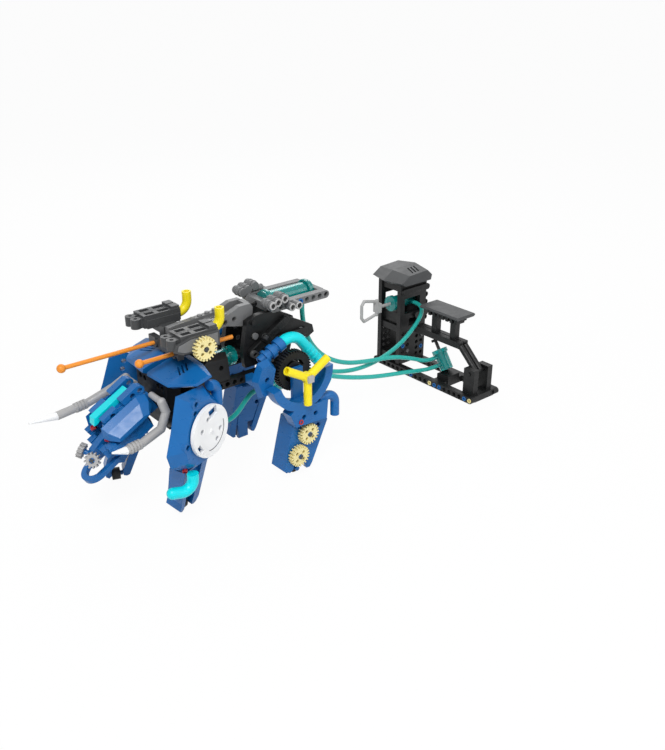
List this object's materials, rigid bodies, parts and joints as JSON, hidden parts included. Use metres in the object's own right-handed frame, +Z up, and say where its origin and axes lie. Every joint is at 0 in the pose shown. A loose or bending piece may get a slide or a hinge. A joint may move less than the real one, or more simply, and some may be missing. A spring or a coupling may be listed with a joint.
{
  "type": "hydraulic walking beast kit with hand controller",
  "caption": "Hydraulic walking four-legged construction kit with a lifting launcher arm on its back and a two-hand pump controller joined by soft hoses.",
  "frame": {"origin": "centre of the kit's footprint on the floor", "axes": "+X is where the beast looks and runs from the controller to the snout, +Z up, +Y the beast's left"},
  "size_m": [0.5228, 0.1806, 0.184],
  "materials": {
    "blue_plastic": "glossy moulded blue",
    "cyan_plastic": "glossy moulded cyan",
    "black_plastic": "satin moulded black",
    "dark_grey_plastic": "satin moulded dark grey",
    "mid_grey_plastic": "satin moulded grey",
    "light_grey_plastic": "glossy moulded light grey",
    "white_plastic": "glossy moulded white",
    "beige_plastic": "glossy moulded cream",
    "yellow_plastic": "glossy moulded yellow",
    "orange_plastic": "satin moulded orange",
    "teal_clear_plastic": "clear teal moulded",
    "teal_hose": "soft teal tubing",
    "tyre_rubber": "matt black rubber"
  },
  "bodies": {
    "root": {"spine_rails": "black_plastic", "spine_blocks": "black_plastic", "front_bulkhead": "black_plastic", "shoulder_shields": "blue_plastic", "body_sides": "black_plastic", "rear_tower": "black_plastic", "flank_panels": "blue_plastic", "turntables": "black_plastic", "exhaust_tubes": "blue_plastic", "exhaust_elbows": "cyan_plastic", "tail_frame": "mid_grey_plastic", "tail_cylinder": "teal_clear_plastic", "drive_cylinders": "teal_clear_plastic", "controller_base": "black_plastic", "controller_tower": "black_plastic", "tower_panel": "dark_grey_plastic", "frame_pins": "mid_grey_plastic", "hose_tail": "teal_hose", "hose_tower": "teal_hose", "hose_pump": "teal_hose", "hose_belly": "teal_hose"},
    "tail_rod": {"tail_rod": "black_plastic"},
    "gun_arm": {"arm_beams": "mid_grey_plastic"},
    "guns": {"turret_block": "dark_grey_plastic", "gun_blocks": "dark_grey_plastic", "sight_tubes": "yellow_plastic", "gear_knob": "beige_plastic"},
    "dart_left": {"dart_left": "orange_plastic"},
    "dart_right": {"dart_right": "orange_plastic"},
    "head": {"head_skull": "blue_plastic", "head_stripe": "cyan_plastic", "head_cheeks": "blue_plastic", "snout_block": "blue_plastic", "tusks": "light_grey_plastic", "tusk_tips": "white_plastic"},
    "snout_gear_left": {"snout_gear_left": "light_grey_plastic"},
    "snout_gear_right": {"snout_gear_right": "light_grey_plastic"},
    "jaw": {"jaw": "blue_plastic"},
    "ring_pull": {"ring_pull": "light_grey_plastic"},
    "palm_lever": {"palm_lever": "black_plastic", "palm_panel": "dark_grey_plastic"},
    "pump_plunger": {"pump_plunger": "black_plastic"},
    "front_leg_left": {"front_leg_left": "blue_plastic", "front_disc_left": "white_plastic", "front_hook_left": "cyan_plastic"},
    "front_roller_left": {"front_roller_left": "tyre_rubber"},
    "rear_leg_left": {"rear_leg_left": "blue_plastic"},
    "rear_roller_left": {"rear_roller_left": "tyre_rubber"},
    "leg_gear_upper_left": {"leg_gear_upper_left": "beige_plastic"},
    "leg_gear_lower_left": {"leg_gear_lower_left": "beige_plastic"},
    "propeller_left": {"propeller_left": "yellow_plastic"},
    "front_leg_right": {"front_leg_right": "blue_plastic", "front_disc_right": "white_plastic", "front_hook_right": "cyan_plastic"},
    "front_roller_right": {"front_roller_right": "tyre_rubber"},
    "rear_leg_right": {"rear_leg_right": "blue_plastic"},
    "rear_roller_right": {"rear_roller_right": "tyre_rubber"},
    "leg_gear_upper_right": {"leg_gear_upper_right": "beige_plastic"},
    "leg_gear_lower_right": {"leg_gear_lower_right": "beige_plastic"},
    "propeller_right": {"propeller_right": "yellow_plastic"}
  },
  "joints": [
    {"name": "gun_arm_lift", "type": "hinge", "parent": "root", "child": "gun_arm", "pos_m": [0.06061, 0.01175, 0.156], "axis": [0, -1, 0], "range_deg": [0, 22]},
    {"name": "tail_rod_slide", "type": "slide", "parent": "root", "child": "tail_rod", "axis": [-1, 0, 0], "range_m": [0, 0.006]},
    {"name": "gun_pitch", "type": "hinge", "parent": "gun_arm", "child": "guns", "pos_m": [0.13061, 0.01175, 0.158], "axis": [0, -1, 0], "range_deg": [-4, 14]},
    {"name": "dart_left_slide", "type": "slide", "parent": "guns", "child": "dart_left", "axis": [1, 0, 0], "range_m": [0, 0.05]},
    {"name": "dart_right_slide", "type": "slide", "parent": "guns", "child": "dart_right", "axis": [1, 0, 0], "range_m": [-0.045, 0]},
    {"name": "head_nod", "type": "hinge", "parent": "root", "child": "head", "pos_m": [0.16861, 0.01175, 0.1], "axis": [0, 1, 0], "range_deg": [-7, 8]},
    {"name": "snout_gear_left_spin", "type": "hinge", "parent": "head", "child": "snout_gear_left", "pos_m": [0.22937, 0.02275, 0.06723], "axis": [0.6089, 0.7203, 0.3323], "continuous": true},
    {"name": "snout_gear_right_spin", "type": "hinge", "parent": "head", "child": "snout_gear_right", "pos_m": [0.22937, 0.00075, 0.06723], "axis": [0.6089, -0.7203, 0.3323], "continuous": true},
    {"name": "jaw_open", "type": "hinge", "parent": "head", "child": "jaw", "pos_m": [0.2037, 0.01175, 0.06877], "axis": [0, 1, 0], "range_deg": [0, 10]},
    {"name": "ring_pull_slide", "type": "slide", "parent": "root", "child": "ring_pull", "axis": [1, 0, 0], "range_m": [-0.01, 0.01]},
    {"name": "palm_lever_press", "type": "hinge", "parent": "root", "child": "palm_lever", "pos_m": [-0.23139, 0.06575, 0.032], "axis": [-1, 0, 0], "range_deg": [0, 6]},
    {"name": "pump_plunger_slide", "type": "slide", "parent": "root", "child": "pump_plunger", "axis": [0, 0.5736, -0.8192], "range_m": [0, 0.0098]},
    {"name": "front_leg_left_swing", "type": "hinge", "parent": "root", "child": "front_leg_left", "pos_m": [0.14161, 0.07975, 0.089], "axis": [-0.342, 0.9397, 0], "range_deg": [-7, 7]},
    {"name": "front_roller_left_spin", "type": "hinge", "parent": "front_leg_left", "child": "front_roller_left", "pos_m": [0.16091, 0.04646, 0.006], "axis": [0.9397, 0.342, 0], "continuous": true},
    {"name": "rear_leg_left_swing", "type": "hinge", "parent": "root", "child": "rear_leg_left", "pos_m": [0.03861, 0.07175, 0.112], "axis": [0, 1, 0], "range_deg": [-8, 8]},
    {"name": "rear_roller_left_spin", "type": "hinge", "parent": "rear_leg_left", "child": "rear_roller_left", "pos_m": [0.03961, 0.05925, 0.006], "axis": [0, 1, 0], "continuous": true},
    {"name": "leg_gear_upper_left_spin", "type": "hinge", "parent": "rear_leg_left", "child": "leg_gear_upper_left", "pos_m": [0.02961, 0.07415, 0.045], "axis": [0, 1, 0], "continuous": true},
    {"name": "leg_gear_lower_left_spin", "type": "hinge", "parent": "rear_leg_left", "child": "leg_gear_lower_left", "pos_m": [0.04161, 0.07415, 0.0242], "axis": [0, 1, 0], "continuous": true},
    {"name": "propeller_left_spin", "type": "hinge", "parent": "root", "child": "propeller_left", "pos_m": [0.03861, 0.08575, 0.112], "axis": [0, 1, 0], "continuous": true},
    {"name": "front_leg_right_swing", "type": "hinge", "parent": "root", "child": "front_leg_right", "pos_m": [0.14161, -0.05625, 0.089], "axis": [0.342, 0.9397, 0], "range_deg": [-7, 7]},
    {"name": "front_roller_right_spin", "type": "hinge", "parent": "front_leg_right", "child": "front_roller_right", "pos_m": [0.18256, -0.0395, 0.006], "axis": [0.9397, -0.342, 0], "continuous": true},
    {"name": "rear_leg_right_swing", "type": "hinge", "parent": "root", "child": "rear_leg_right", "pos_m": [0.03861, -0.04825, 0.112], "axis": [0, 1, 0], "range_deg": [-8, 8]},
    {"name": "rear_roller_right_spin", "type": "hinge", "parent": "rear_leg_right", "child": "rear_roller_right", "pos_m": [0.03961, -0.03575, 0.006], "axis": [0, 1, 0], "continuous": true},
    {"name": "leg_gear_upper_right_spin", "type": "hinge", "parent": "rear_leg_right", "child": "leg_gear_upper_right", "pos_m": [0.02961, -0.05065, 0.045], "axis": [0, 1, 0], "continuous": true},
    {"name": "leg_gear_lower_right_spin", "type": "hinge", "parent": "rear_leg_right", "child": "leg_gear_lower_right", "pos_m": [0.04161, -0.05065, 0.0242], "axis": [0, 1, 0], "continuous": true},
    {"name": "propeller_right_spin", "type": "hinge", "parent": "root", "child": "propeller_right", "pos_m": [0.03861, -0.06225, 0.112], "axis": [0, 1, 0], "continuous": true}
  ],
  "couplings": [
    {"joint": "tail_rod_slide", "follows": "gun_arm_lift", "m_per_rad": 0.0125},
    {"joint": "palm_lever_press", "follows": "gun_arm_lift", "ratio": 0.26},
    {"joint": "pump_plunger_slide", "follows": "gun_arm_lift", "m_per_rad": 0.0247},
    {"joint": "rear_leg_right_swing", "follows": "rear_leg_left_swing", "ratio": -1},
    {"joint": "front_leg_left_swing", "follows": "rear_leg_left_swing", "ratio": -0.8},
    {"joint": "front_leg_right_swing", "follows": "rear_leg_left_swing", "ratio": 0.8},
    {"joint": "ring_pull_slide", "follows": "rear_leg_left_swing", "m_per_rad": 0.07}
  ]
}
